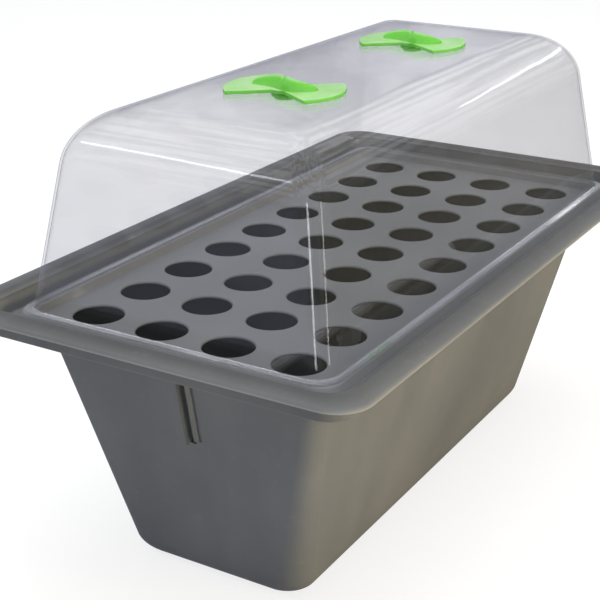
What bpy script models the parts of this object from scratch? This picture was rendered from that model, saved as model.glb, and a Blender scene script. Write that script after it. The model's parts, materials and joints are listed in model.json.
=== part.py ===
"""Humidity dome tray: a water tank, a 36 hole plant tray, a clear vented dome and the spray pump inside.

Metres, +Z up. The origin is the centre of the tank's flat bottom. X runs across the short side,
Y along the long side, and the end wall with the cable notch faces -Y.
"""

import math

import bmesh
import bpy
from mathutils import Matrix, Vector

# Planting grid
SITE_COLUMNS = 4
SITE_ROWS = 9
SITE_PITCH = 0.060
SITE_BORE = 0.040
SIDE_MARGIN = 0.0357          # outermost hole centre to the tank mouth line, along X
END_MARGIN = 0.0288           # the same, along Y

# Tank
PLATE_HEIGHT = 0.216          # tank bottom to the top of the plant tray's plate
TANK_DRAFT = 0.21             # how far the wall leans out for each metre of height
TANK_WALL = 0.0025
TANK_FOOT_FILLET = 0.020
MOUTH_CORNER = 0.012          # plan corner radius of the tank wall at the mouth line
FOOT_CORNER = 0.022           # plan corner radius of the tank wall at the bottom
RIM_CORNER = 0.027            # plan corner radius of the rim's outer edge

# Plant tray: distances out from the mouth line, and heights above the plate
TRAY_SHEET = 0.0020
BANK_FOOT = 0.0010
BANK_INNER = 0.0040
BANK_OUTER = 0.0128
BANK_HEIGHT = 0.0064
GUTTER_INNER = 0.0142
GUTTER_OUTER = 0.0265
GUTTER_DEPTH = 0.0020
LIP_OUT = 0.0285
LIP_HEIGHT = 0.0125
RIDGE_OUT = 0.0336
RIDGE_HEIGHT = 0.0160
FLANGE_OUT = 0.0495
FLANGE_HEIGHT = 0.0128
SKIRT_OUT = 0.0510
SKIRT_HEIGHT = 0.0085

# Tank rim, which carries the tray
RIM_RISER_GAP = 0.0006        # tray lip to the tank's riser, beside it
RIM_FLANGE_DROP = 0.0010      # tray flange to the tank's flange, below it
RIM_SKIRT_GAP = 0.0010        # tank flange edge to the tray's skirt, beside it

# Cable notch on the end wall
NOTCH_TOP_BELOW_PLATE = 0.0205
NOTCH_LENGTH = 0.0620
NOTCH_RAMP_WIDTH = 0.0185
NOTCH_RAMP_RISE = 0.0048
NOTCH_GROOVE_WIDTH = 0.0046
NOTCH_GROOVE_DEPTH = 0.0030
NOTCH_RIB_WIDTH = 0.0034
NOTCH_RIB_RISE = 0.0016
NOTCH_OFFSET = 0.0018         # where the ramp ends, right of the middle

# Dome
DOME_SHEET = 0.0014
DOME_BASE_OUT = 0.0070        # dome wall at its base, out from the mouth line
DOME_FOOT_WIDTH = 0.0050
DOME_HEIGHT = 0.160           # roof above the plate
DOME_DRAFT = 0.161
DOME_SHOULDER = 0.048
DOME_BASE_CORNER = 0.017
DOME_ROOF_CORNER = 0.019
DOME_ROOF_EDGE = 0.008        # ring of flat roof between the shoulder and the roof's middle panel
DOME_FOOT_CORNER_GROWTH = 0.4  # plan radius that a corner gains for each metre the foot turns out
DOME_CORNER_DRAW = 0.25       # plan radius that a corner loses for each metre the shoulder turns in

# Vents
VENT_SPACING = 0.222          # between the two vent centres, along Y
VENT_RADIUS = 0.048
VENT_SWEEP = math.radians(90)
VENT_REST_TURN = math.radians(3)
VENT_THICKNESS = 0.0030
VENT_HUB_RADIUS = 0.0135
VENT_OPENING_INNER = 0.0150
VENT_OPENING_OUTER = 0.0430
VENT_OPENING_SWEEP = math.radians(74)
GRIP_LENGTH = 0.058
GRIP_WIDTH = 0.020
GRIP_RISE = 0.0085
GRIP_TWIST = 0.0045
GRIP_BLUNT = 0.97             # how far along its half length the grip runs before its blunt end
PIN_RADIUS = 0.0030
PIN_DEPTH_IN_CAP = 0.0040
PIN_FLANGE_RADIUS = 0.0080
PIN_FLANGE_THICKNESS = 0.0020
WASHER_RADIUS = 0.0105
WASHER_THICKNESS = 0.0015

# Pump
PUMP_WIDTH = 0.052
PUMP_LENGTH = 0.062
PUMP_BODY_HEIGHT = 0.050
PUMP_CORNER = 0.009
PUMP_EDGE = 0.003
ROTOR_RADIUS = 0.0115
ROTOR_LENGTH = 0.030
ROTOR_CLEARANCE = 0.0012
SHAFT_RADIUS = 0.0015
BUSH_RADIUS = 0.0042
BUSH_LENGTH = 0.0040
CHAMBER_RADIUS = 0.0235
CHAMBER_DEPTH = 0.020
CHAMBER_WALL = 0.0022
IMPELLER_RADIUS = 0.0165
IMPELLER_HUB_RADIUS = 0.0060
IMPELLER_WIDTH = 0.0090
IMPELLER_BLADES = 6
BLADE_THICKNESS = 0.0020
INTAKE_RADIUS = 0.0080
GRILLE_DEPTH = 0.0120
GRILLE_WALL = 0.0020
GRILLE_SLOTS = 7
GRILLE_SLOT_WIDTH = 0.0022
SPIGOT_RADIUS = 0.0065
SPIGOT_BORE_RADIUS = 0.0048
SPIGOT_LENGTH = 0.018
SUCKER_RADIUS = 0.0095
SUCKER_HEIGHT = 0.0075
SUCKER_CUP_RADIUS = 0.0066
SUCKER_CUP_DEPTH = 0.0019
SUCKER_NECK_RADIUS = 0.0052
SUCKER_NECK_START = 0.0045
SUCKER_STEM_RADIUS = 0.0030
SUCKER_STEM_LENGTH = 0.0040
GLAND_RADIUS = 0.0055
GLAND_LENGTH = 0.0160
GLAND_COLLAR_LENGTH = 0.0053
GLAND_SPIGOT_RADIUS = 0.0035
GLAND_SPIGOT_LENGTH = 0.0040

# Spray manifold
BAR_HEIGHT = 0.150            # spray bar axis above the tank bottom
BAR_RADIUS = 0.0080
BAR_WALL = 0.0015
BAR_END_MARGIN = 0.062        # end cap to the tank mouth line, along Y
RISER_RADIUS = 0.0085
SOCKET_WALL = 0.0020
TEE_HALF_LENGTH = 0.026
TEE_DROP = 0.024
SOCKET_DEPTH = 0.0150
CAP_LENGTH = 0.0180
NOZZLES_PER_BAR = 4
NOZZLE_PITCH = 0.046
NOZZLE_STEM_RADIUS = 0.0022
NOZZLE_STEM_LENGTH = 0.0040
NOZZLE_BODY_RADIUS = 0.0050
NOZZLE_HEIGHT = 0.0110
NOZZLE_COLLAR_HEIGHT = 0.0028
NOZZLE_WAIST_RADIUS = 0.0030
NOZZLE_WAIST_LOW = 0.0044
NOZZLE_WAIST_HIGH = 0.0077
NOZZLE_CROWN_RADIUS = 0.0045
NOZZLE_CROWN_LOW = 0.0088

# Fits
TOUCH = 0.0003                # gap between pieces that rest on or sit in each other
SLIP = 0.0004                 # radial gap of pins, stems and pipes in their holes

CORNER_STEPS = 6
ROUND_STEPS = 24
SMALL_ROUND_STEPS = 16

# Sizes that follow from the values above
MOUTH_HALF_X = (SITE_COLUMNS - 1) * SITE_PITCH / 2 + SIDE_MARGIN
MOUTH_HALF_Y = (SITE_ROWS - 1) * SITE_PITCH / 2 + END_MARGIN
FLOOR = TANK_WALL
PUMP_BASE = FLOOR + SUCKER_HEIGHT + 2 * TOUCH
ROTOR_HEIGHT = PUMP_BASE + PUMP_BODY_HEIGHT / 2
PUMP_FACE = CHAMBER_DEPTH / 2
SPIGOT_TOP = ROTOR_HEIGHT + CHAMBER_RADIUS + SPIGOT_LENGTH
SOCKET_RADIUS = BAR_RADIUS + SLIP + SOCKET_WALL
RISER_SOCKET_RADIUS = RISER_RADIUS + SLIP + SOCKET_WALL


# ---------------------------------------------------------------- scene and materials


def clear_scene():
    for item in list(bpy.data.objects):
        bpy.data.objects.remove(item, do_unlink=True)


def make_material(name, colour, roughness, metallic=0.0, alpha=1.0):
    material = bpy.data.materials.new(name)
    material.use_nodes = True
    shader = material.node_tree.nodes["Principled BSDF"]
    shader.inputs["Base Color"].default_value = (*colour, 1.0)
    shader.inputs["Roughness"].default_value = roughness
    shader.inputs["Metallic"].default_value = metallic
    shader.inputs["Alpha"].default_value = alpha
    return material


def tank_plastic():
    return make_material("tank_plastic", (0.105, 0.112, 0.120), 0.45)


def tray_plastic():
    return make_material("tray_plastic", (0.120, 0.126, 0.128), 0.40)


def dome_clear():
    return make_material("dome_clear", (0.90, 0.91, 0.93), 0.06, alpha=0.30)


def vent_green():
    return make_material("vent_green", (0.23, 0.62, 0.09), 0.25, alpha=0.90)


def pump_black():
    return make_material("pump_black", (0.020, 0.021, 0.023), 0.50)


def grille_grey():
    return make_material("grille_grey", (0.060, 0.063, 0.067), 0.55)


def rotor_ferrite():
    return make_material("rotor_ferrite", (0.045, 0.043, 0.042), 0.60)


def shaft_ceramic():
    return make_material("shaft_ceramic", (0.80, 0.79, 0.76), 0.20)


def soft_rubber():
    return make_material("soft_rubber", (0.030, 0.030, 0.031), 0.75)


def pipe_white():
    return make_material("pipe_white", (0.72, 0.72, 0.70), 0.35)


def nozzle_black():
    return make_material("nozzle_black", (0.025, 0.025, 0.027), 0.40)


# ---------------------------------------------------------------- modelling helpers


def add_object(name, mesh, material, parent=None, location=(0, 0, 0), rotation=(0, 0, 0)):
    item = bpy.data.objects.new(name, mesh)
    bpy.context.scene.collection.objects.link(item)
    if material:
        mesh.materials.append(material)
    item.parent = parent
    item.location = location
    item.rotation_euler = rotation
    return item


def add_empty(name, location, parent=None, rotation=(0, 0, 0)):
    item = bpy.data.objects.new(name, None)
    bpy.context.scene.collection.objects.link(item)
    item.empty_display_size = 0.02
    item.parent = parent
    item.location = location
    item.rotation_euler = rotation
    return item


def finish_mesh(name, shape, smooth_angle=30):
    bmesh.ops.recalc_face_normals(shape, faces=shape.faces)
    mesh = bpy.data.meshes.new(name)
    shape.to_mesh(mesh)
    shape.free()
    mesh.shade_smooth()
    mesh.set_sharp_from_angle(angle=math.radians(smooth_angle))
    return mesh


def loft(name, rings, closed=False, smooth_angle=30):
    """Skin a row of rings with the same point count. An open row is capped at both ends."""
    shape = bmesh.new()
    rows = [[shape.verts.new(point) for point in ring] for ring in rings]
    pairs = list(zip(rows, rows[1:]))
    if closed:
        pairs.append((rows[-1], rows[0]))
    count = len(rows[0])
    for first, second in pairs:
        for index in range(count):
            following = (index + 1) % count
            shape.faces.new((first[index], first[following], second[following], second[index]))
    if not closed:
        shape.faces.new(rows[0])
        shape.faces.new(rows[-1])
    return finish_mesh(name, shape, smooth_angle)


def circle(radius, height, steps):
    turn = 2 * math.pi / steps
    return [
        Vector((radius * math.cos(turn * step), radius * math.sin(turn * step), height))
        for step in range(steps)
    ]


def turned(name, profile, closed=False, steps=SMALL_ROUND_STEPS):
    """Turn a profile of (radius, height) pairs about Z. A closed profile makes a ring."""
    return loft(name, [circle(radius, height, steps) for radius, height in profile], closed)


def tube(name, outer, inner, low, high, steps=SMALL_ROUND_STEPS):
    return turned(name, [(outer, low), (outer, high), (inner, high), (inner, low)], True, steps)


def rounded_rectangle(half_x, half_y, radius, height):
    points = []
    centres = ((1, 1, 0), (-1, 1, 90), (-1, -1, 180), (1, -1, 270))
    for side_x, side_y, start in centres:
        for step in range(CORNER_STEPS + 1):
            angle = math.radians(start + 90 * step / CORNER_STEPS)
            points.append(
                Vector((
                    side_x * (half_x - radius) + radius * math.cos(angle),
                    side_y * (half_y - radius) + radius * math.sin(angle),
                    height,
                ))
            )
    return points


def box_mesh(name, low, high):
    shape = bmesh.new()
    bmesh.ops.create_cube(shape, size=1)
    size = Vector(high) - Vector(low)
    centre = (Vector(high) + Vector(low)) / 2
    bmesh.ops.scale(shape, vec=size, verts=shape.verts)
    bmesh.ops.translate(shape, vec=centre, verts=shape.verts)
    return finish_mesh(name, shape)


def prism(name, outline, low, high, smooth_angle=30):
    """Stand a flat outline of (x, y) pairs up from one height to another."""
    rings = [[Vector((x, y, height)) for x, y in outline] for height in (low, high)]
    return loft(name, rings, smooth_angle=smooth_angle)


def arc(centre, radius, start, end, steps):
    return [
        (
            centre[0] + radius * math.cos(start + (end - start) * step / steps),
            centre[1] + radius * math.sin(start + (end - start) * step / steps),
        )
        for step in range(steps + 1)
    ]


def offset_line(points, distance):
    """Move an open line of (out, up) pairs sideways, with mitred corners. Right of travel is positive."""
    moved = []
    for index, point in enumerate(points):
        normals = []
        for first, second in ((index - 1, index), (index, index + 1)):
            if first < 0 or second >= len(points):
                continue
            run = Vector(points[second]) - Vector(points[first])
            normals.append(Vector((run.y, -run.x)).normalized())
        middle = sum(normals, Vector((0, 0))).normalized()
        moved.append(tuple(Vector(point) + middle * distance / middle.dot(normals[0])))
    return moved


def cutter(name, mesh, parent=None, location=(0, 0, 0), rotation=(0, 0, 0)):
    item = add_object(name, mesh, None, parent, location, rotation)
    item.hide_render = True
    item.display_type = "WIRE"
    return item


def combine(item, tool, operation):
    modifier = item.modifiers.new(tool.name, "BOOLEAN")
    modifier.operation = operation
    modifier.solver = "EXACT"
    modifier.object = tool


def merge_meshes(name, meshes):
    shape = bmesh.new()
    for mesh in meshes:
        shape.from_mesh(mesh)
    return finish_mesh(name, shape)


# ---------------------------------------------------------------- tank and tray


def plan_corner(out):
    """Plan corner radius at a distance out from the mouth line, for the tank and the tray."""
    foot_out = -TANK_DRAFT * PLATE_HEIGHT
    if out < 0:
        share = min(1.0, out / foot_out)
        return MOUTH_CORNER + (FOOT_CORNER - MOUTH_CORNER) * share
    return MOUTH_CORNER + (RIM_CORNER - MOUTH_CORNER) * out / SKIRT_OUT


def rim_rings(line):
    return [
        rounded_rectangle(MOUTH_HALF_X + out, MOUTH_HALF_Y + out, plan_corner(out), height)
        for out, height in line
    ]


def tray_line():
    """The tray's upper face from the plate's edge to the bottom of the skirt."""
    return [
        (BANK_FOOT - BANK_INNER, 0),
        (BANK_FOOT, 0),
        (BANK_INNER, BANK_HEIGHT),
        (BANK_OUTER, BANK_HEIGHT),
        (GUTTER_INNER, -GUTTER_DEPTH),
        (GUTTER_OUTER, -GUTTER_DEPTH),
        (LIP_OUT, LIP_HEIGHT),
        (RIDGE_OUT, RIDGE_HEIGHT),
        (FLANGE_OUT, FLANGE_HEIGHT),
        (SKIRT_OUT, SKIRT_HEIGHT),
    ]


def tank_line():
    """The tank's outer face from its flat bottom to the edge of its flange."""
    lean = math.atan(TANK_DRAFT)
    foot_out = -TANK_DRAFT * PLATE_HEIGHT
    reach = TANK_FOOT_FILLET * math.tan((math.pi / 2 - lean) / 2)
    centre = (foot_out - reach, TANK_FOOT_FILLET)
    ledge = PLATE_HEIGHT - GUTTER_DEPTH - TRAY_SHEET - TOUCH - TANK_WALL
    riser = LIP_OUT + TRAY_SHEET + RIM_RISER_GAP + TANK_WALL
    flange = PLATE_HEIGHT + LIP_HEIGHT - TRAY_SHEET - RIM_FLANGE_DROP - TANK_WALL
    edge = SKIRT_OUT - TRAY_SHEET - RIM_SKIRT_GAP
    line = [(centre[0] - TANK_FOOT_FILLET / 2, 0)]
    line += arc(centre, TANK_FOOT_FILLET, -math.pi / 2, -lean, 4)
    line += [
        (-TANK_DRAFT * (PLATE_HEIGHT - ledge), ledge),
        (riser, ledge),
        (riser, flange),
        (edge, flange),
    ]
    return line


def make_tank():
    outer = tank_line()
    inner = offset_line(outer, -TANK_WALL)
    mesh = loft("reservoir_tank", rim_rings(outer + inner[::-1]))
    tank = add_object("reservoir_tank", mesh, tank_plastic())
    add_cable_notch(tank)
    return tank


def add_cable_notch(tank):
    """A ramp up to a groove for the pump's cable, moulded into the outer face of the end wall."""
    lean = math.atan(TANK_DRAFT)
    top = PLATE_HEIGHT - NOTCH_TOP_BELOW_PLATE
    wall_y = -(MOUTH_HALF_Y - TANK_DRAFT * NOTCH_TOP_BELOW_PLATE)
    frame = add_empty("notch_frame", (NOTCH_OFFSET, wall_y, top), rotation=(lean, 0, 0))
    groove_end = NOTCH_GROOVE_WIDTH
    rib_end = groove_end + NOTCH_RIB_WIDTH
    overlap = TANK_WALL / 8
    ramp_outline = [
        (-NOTCH_RAMP_WIDTH, TANK_WALL / 2),
        (-NOTCH_RAMP_WIDTH, overlap),
        (overlap, -NOTCH_RAMP_RISE),
        (overlap, TANK_WALL / 2),
    ]
    rib_outline = [
        (groove_end - overlap, TANK_WALL / 2),
        (groove_end - overlap, -NOTCH_RIB_RISE),
        (rib_end, overlap),
        (rib_end, TANK_WALL / 2),
    ]
    ramp = cutter("notch_ramp", prism("notch_ramp", ramp_outline, -NOTCH_LENGTH, 0), frame)
    rib_length = NOTCH_LENGTH - NOTCH_RIB_WIDTH
    rib = cutter("notch_rib", prism("notch_rib", rib_outline, -rib_length, -overlap), frame)
    backing_depth = NOTCH_GROOVE_DEPTH + TANK_WALL
    backing = cutter(
        "notch_backing",
        box_mesh(
            "notch_backing",
            (-TANK_WALL, TANK_WALL / 3, -NOTCH_LENGTH - TANK_WALL),
            (rib_end + TANK_WALL, backing_depth, TANK_WALL),
        ),
        frame,
    )
    groove = cutter(
        "notch_groove",
        box_mesh(
            "notch_groove",
            (0, -2 * NOTCH_RAMP_RISE, -NOTCH_LENGTH - overlap),
            (groove_end, NOTCH_GROOVE_DEPTH, TANK_WALL / 2),
        ),
        frame,
    )
    combine(tank, ramp, "UNION")
    combine(tank, rib, "UNION")
    combine(tank, backing, "UNION")
    combine(tank, groove, "DIFFERENCE")


def site_centres():
    for row in range(SITE_ROWS):
        for column in range(SITE_COLUMNS):
            yield (
                (column - (SITE_COLUMNS - 1) / 2) * SITE_PITCH,
                (row - (SITE_ROWS - 1) / 2) * SITE_PITCH,
            )


def make_tray(carrier):
    upper = tray_line()
    under = offset_line(upper, TRAY_SHEET)
    mesh = loft("plant_tray", rim_rings(upper + under[::-1]))
    tray = add_object("plant_tray", mesh, tray_plastic(), carrier)
    plugs = []
    for x, y in site_centres():
        plug = turned("site_plug", [
            (SITE_BORE / 2, -2 * TRAY_SHEET),
            (SITE_BORE / 2, TRAY_SHEET),
        ], steps=ROUND_STEPS)
        plug.transform(Matrix.Translation((x, y, 0)))
        plugs.append(plug)
    combine(tray, cutter("site_holes", merge_meshes("site_holes", plugs), carrier), "DIFFERENCE")
    return tray


# ---------------------------------------------------------------- dome and vents


def dome_line():
    """The dome's outer face from the edge of its foot to the edge of its flat roof."""
    lean = math.atan(DOME_DRAFT)
    foot_top = BANK_HEIGHT + TOUCH + DOME_SHEET
    shoulder_start = DOME_HEIGHT - DOME_SHOULDER + DOME_SHOULDER * math.sin(lean)
    wall_out = DOME_BASE_OUT - DOME_DRAFT * (shoulder_start - foot_top)
    centre = (wall_out - DOME_SHOULDER * math.cos(lean), DOME_HEIGHT - DOME_SHOULDER)
    line = [(DOME_BASE_OUT + DOME_FOOT_WIDTH, foot_top), (DOME_BASE_OUT, foot_top)]
    line += arc(centre, DOME_SHOULDER, lean, math.pi / 2, 7)
    line.append((centre[0] - DOME_ROOF_EDGE, DOME_HEIGHT))
    return line


def dome_rings(line):
    rings = []
    wall_top = DOME_BASE_OUT - DOME_DRAFT * (DOME_HEIGHT - DOME_SHOULDER)
    for out, height in line:
        share = height / DOME_HEIGHT
        radius = DOME_BASE_CORNER + (DOME_ROOF_CORNER - DOME_BASE_CORNER) * share
        radius -= max(0.0, wall_top - out) * DOME_CORNER_DRAW
        radius += max(0.0, out - DOME_BASE_OUT) * DOME_FOOT_CORNER_GROWTH
        rings.append(rounded_rectangle(MOUTH_HALF_X + out, MOUTH_HALF_Y + out, radius, height))
    return rings


def sector(inner, outer, middle, sweep, steps):
    """A ring sector as an outline of (x, y) pairs."""
    start = middle - sweep / 2
    end = middle + sweep / 2
    return arc((0, 0), outer, start, end, steps) + arc((0, 0), inner, end, start, steps // 2)


def make_dome(carrier):
    outer = dome_line()
    inner = offset_line(outer, -DOME_SHEET)
    mesh = loft("humidity_dome", dome_rings(outer[::-1] + inner))
    dome = add_object("humidity_dome", mesh, dome_clear(), carrier)
    low = DOME_HEIGHT - 3 * DOME_SHEET
    high = DOME_HEIGHT + 2 * DOME_SHEET
    cuts = []
    for side in (-1, 1):
        place = Matrix.Translation((0, side * VENT_SPACING / 2, 0))
        shapes = [prism("vent_slot", sector(
            VENT_OPENING_INNER, VENT_OPENING_OUTER, VENT_REST_TURN + half * math.pi, VENT_OPENING_SWEEP, 8,
        ), low, high) for half in (0, 1)]
        shapes.append(turned("pin_hole", [(PIN_RADIUS + SLIP, low), (PIN_RADIUS + SLIP, high)]))
        for shape in shapes:
            shape.transform(place)
        cuts += shapes
    combine(dome, cutter("vent_openings", merge_meshes("vent_openings", cuts), carrier), "DIFFERENCE")
    return dome


def vent_outline():
    """Two wide blades joined by a round hub."""
    points = []
    half_gap = (math.pi - VENT_SWEEP) / 2
    for half in (0, 1):
        middle = half * math.pi
        points += arc((0, 0), VENT_RADIUS, middle - VENT_SWEEP / 2, middle + VENT_SWEEP / 2, 10)
        waist = middle + math.pi / 2
        points += arc((0, 0), VENT_HUB_RADIUS, waist - half_gap / 2, waist + half_gap / 2, 3)
    return points


def grip_rings():
    """A crowned grip whose two halves lean to opposite sides."""
    rings = []
    stations = 8
    steps = 10
    for station in range(stations + 1):
        along = GRIP_BLUNT * (2 * station / stations - 1)
        fullness = math.sqrt(1 - along * along)
        shift = -GRIP_TWIST * math.sin(along * math.pi)
        ring = []
        for step in range(steps):
            angle = 2 * math.pi * step / steps
            across = shift + GRIP_WIDTH / 2 * fullness * math.cos(angle)
            up = GRIP_RISE * fullness * math.sin(angle)
            up = max(up, -VENT_THICKNESS / 2)
            ring.append(Vector((along * GRIP_LENGTH / 2, across, VENT_THICKNESS + up)))
        rings.append(ring)
    return rings


def make_vent(place, side, dome_carrier):
    material = vent_green()
    axis = add_empty(
        "vent_axis_" + place, (0, side * VENT_SPACING / 2, DOME_HEIGHT + TOUCH), dome_carrier,
        rotation=(0, 0, VENT_REST_TURN),
    )
    blades = prism("vent_cap", vent_outline(), 0, VENT_THICKNESS)
    cap = add_object("vent_cap_" + place, blades, material, axis)
    grip = cutter("vent_grip_" + place, loft("vent_grip", grip_rings(), smooth_angle=60), axis)
    bore_mesh = turned("vent_bore", [
        (PIN_RADIUS + SLIP, -VENT_THICKNESS),
        (PIN_RADIUS + SLIP, PIN_DEPTH_IN_CAP + TOUCH),
    ])
    bore = cutter("vent_bore_" + place, bore_mesh, axis)
    combine(cap, grip, "UNION")
    combine(cap, bore, "DIFFERENCE")

    roof_under = -TOUCH - DOME_SHEET
    washer_top = roof_under - TOUCH
    washer_bottom = washer_top - WASHER_THICKNESS
    add_object(
        "vent_washer_" + place,
        tube("vent_washer", WASHER_RADIUS, PIN_RADIUS + SLIP, washer_bottom, washer_top),
        material, axis,
    )
    flange_top = washer_bottom - TOUCH
    add_object(
        "vent_pin_" + place,
        turned("vent_pin", [
            (PIN_FLANGE_RADIUS, flange_top - PIN_FLANGE_THICKNESS),
            (PIN_FLANGE_RADIUS, flange_top),
            (PIN_RADIUS, flange_top),
            (PIN_RADIUS, PIN_DEPTH_IN_CAP),
        ]),
        material, axis,
    )


# ---------------------------------------------------------------- pump


def make_pump_body():
    half_x = PUMP_WIDTH / 2
    half_y = PUMP_LENGTH / 2
    middle_y = PUMP_FACE + TOUCH + half_y
    rings = [
        rounded_rectangle(half_x - PUMP_EDGE, half_y - PUMP_EDGE, PUMP_CORNER - PUMP_EDGE, 0),
        rounded_rectangle(half_x, half_y, PUMP_CORNER, PUMP_EDGE),
        rounded_rectangle(half_x, half_y, PUMP_CORNER, PUMP_BODY_HEIGHT - PUMP_EDGE),
        rounded_rectangle(
            half_x - PUMP_EDGE, half_y - PUMP_EDGE, PUMP_CORNER - PUMP_EDGE, PUMP_BODY_HEIGHT,
        ),
    ]
    place = (0, middle_y, PUMP_BASE)
    body = add_object("pump_body", loft("pump_body", rings), pump_black(), location=place)

    well_radius = ROTOR_RADIUS + ROTOR_CLEARANCE
    well_end = PUMP_FACE + ROTOR_LENGTH + 2 * ROTOR_CLEARANCE
    bush_end = well_end + BUSH_LENGTH + TOUCH
    along_y = (-math.pi / 2, 0, 0)
    well = turned("rotor_well", [
        (well_radius, PUMP_FACE - ROTOR_CLEARANCE),
        (well_radius, well_end),
        (BUSH_RADIUS + SLIP, well_end),
        (BUSH_RADIUS + SLIP, bush_end),
    ], steps=ROUND_STEPS)
    rotor_place = (0, 0, ROTOR_HEIGHT)
    combine(body, cutter("rotor_well", well, location=rotor_place, rotation=along_y), "DIFFERENCE")

    rear = PUMP_FACE + TOUCH + PUMP_LENGTH
    socket_radius = GLAND_SPIGOT_RADIUS + SLIP
    gland_socket = turned("gland_socket", [
        (socket_radius, rear - GLAND_SPIGOT_LENGTH - TOUCH), (socket_radius, rear + GLAND_SPIGOT_LENGTH),
    ])
    combine(body, cutter("gland_socket", gland_socket, location=rotor_place, rotation=along_y), "DIFFERENCE")

    add_object(
        "pump_cable_gland",
        turned("pump_cable_gland", [
            (GLAND_SPIGOT_RADIUS, rear - GLAND_SPIGOT_LENGTH),
            (GLAND_SPIGOT_RADIUS, rear + TOUCH),
            (GLAND_RADIUS, rear + TOUCH),
            (GLAND_RADIUS, rear + GLAND_COLLAR_LENGTH),
            (GLAND_SPIGOT_RADIUS, rear + GLAND_LENGTH),
        ]),
        soft_rubber(), location=rotor_place, rotation=along_y,
    )
    add_suckers(body, middle_y)


def add_suckers(body, middle_y):
    """Four rubber suckers whose stems sit in blind sockets under the pump."""
    inset_x = PUMP_WIDTH / 2 - SUCKER_RADIUS
    inset_y = PUMP_LENGTH / 2 - SUCKER_RADIUS
    sockets = []
    number = 0
    for side_y in (-1, 1):
        for side_x in (-1, 1):
            number += 1
            x = side_x * inset_x
            y = middle_y + side_y * inset_y
            socket_radius = SUCKER_STEM_RADIUS + SLIP
            socket = turned("sucker_socket", [
                (socket_radius, PUMP_BASE - TOUCH), (socket_radius, PUMP_BASE + SUCKER_STEM_LENGTH + TOUCH),
            ])
            socket.transform(Matrix.Translation((x, y, 0)))
            sockets.append(socket)
            sucker = turned("pump_sucker", [
                (SUCKER_CUP_RADIUS, SUCKER_CUP_DEPTH),
                (SUCKER_RADIUS - TOUCH, 0),
                (SUCKER_RADIUS, 0),
                (SUCKER_NECK_RADIUS, SUCKER_NECK_START),
                (SUCKER_NECK_RADIUS, SUCKER_HEIGHT),
                (SUCKER_STEM_RADIUS, SUCKER_HEIGHT),
                (SUCKER_STEM_RADIUS, SUCKER_HEIGHT + SUCKER_STEM_LENGTH),
            ])
            add_object("pump_sucker_%d" % number, sucker, soft_rubber(), location=(x, y, FLOOR + TOUCH))
    combine(body, cutter("sucker_sockets", merge_meshes("sucker_sockets", sockets)), "DIFFERENCE")


def make_volute():
    """The impeller chamber, open towards the motor, with its outlet spigot standing up."""
    along_y = (-math.pi / 2, 0, 0)
    place = (0, 0, ROTOR_HEIGHT)
    front = -CHAMBER_DEPTH / 2
    volute = add_object(
        "pump_volute",
        turned("pump_volute", [(CHAMBER_RADIUS, front), (CHAMBER_RADIUS, PUMP_FACE)], steps=ROUND_STEPS),
        pump_black(), location=place, rotation=along_y,
    )
    spigot = cutter("outlet_spigot", turned("outlet_spigot", [
        (SPIGOT_RADIUS, ROTOR_HEIGHT + CHAMBER_RADIUS / 2), (SPIGOT_RADIUS, SPIGOT_TOP),
    ]))
    inner_radius = CHAMBER_RADIUS - CHAMBER_WALL
    hub_radius = BUSH_RADIUS + SLIP
    hollow = turned("chamber_hollow", [
        (INTAKE_RADIUS, front - CHAMBER_WALL),
        (INTAKE_RADIUS, front + CHAMBER_WALL),
        (inner_radius, front + CHAMBER_WALL),
        (inner_radius, PUMP_FACE + CHAMBER_WALL),
    ], steps=ROUND_STEPS)
    bore = cutter("outlet_bore", turned("outlet_bore", [
        (SPIGOT_BORE_RADIUS, ROTOR_HEIGHT + CHAMBER_RADIUS / 2),
        (SPIGOT_BORE_RADIUS, SPIGOT_TOP + CHAMBER_WALL),
    ]))
    combine(volute, spigot, "UNION")
    combine(volute, cutter("chamber_hollow", hollow, location=place, rotation=along_y), "DIFFERENCE")
    combine(volute, bore, "DIFFERENCE")

    grille_back = front - TOUCH
    grille_front = grille_back - GRILLE_DEPTH
    grille_inner = CHAMBER_RADIUS - GRILLE_WALL
    grille = add_object(
        "pump_intake_grille",
        turned("pump_intake_grille", [
            (hub_radius + CHAMBER_WALL, grille_back),
            (hub_radius + CHAMBER_WALL, grille_front + GRILLE_WALL),
            (grille_inner, grille_front + GRILLE_WALL),
            (grille_inner, grille_back),
            (CHAMBER_RADIUS, grille_back),
            (CHAMBER_RADIUS, grille_front + GRILLE_WALL),
            (CHAMBER_RADIUS - GRILLE_WALL, grille_front),
        ], steps=ROUND_STEPS),
        grille_grey(), location=place, rotation=along_y,
    )
    socket = turned("front_bush_socket", [
        (hub_radius, grille_back - BUSH_LENGTH - TOUCH), (hub_radius, grille_back + TOUCH),
    ])
    combine(grille, cutter("front_bush_socket", socket, location=place, rotation=along_y), "DIFFERENCE")
    slots = []
    for index in range(GRILLE_SLOTS):
        x = (index - (GRILLE_SLOTS - 1) / 2) * 2 * GRILLE_SLOT_WIDTH
        reach = math.sqrt(grille_inner ** 2 - x ** 2) - GRILLE_WALL
        near_hub = abs(x) < hub_radius + CHAMBER_WALL + GRILLE_SLOT_WIDTH
        spans = ((-reach, reach),)
        if near_hub:
            clear = hub_radius + 2 * CHAMBER_WALL
            spans = ((-reach, -clear), (clear, reach))
        for low, high in spans:
            slots.append(box_mesh(
                "grille_slot",
                (x - GRILLE_SLOT_WIDTH / 2, low, grille_front - GRILLE_WALL),
                (x + GRILLE_SLOT_WIDTH / 2, high, grille_front + 2 * GRILLE_WALL),
            ))
    tool = cutter("grille_slots", merge_meshes("grille_slots", slots), location=place, rotation=along_y)
    combine(grille, tool, "DIFFERENCE")


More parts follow.
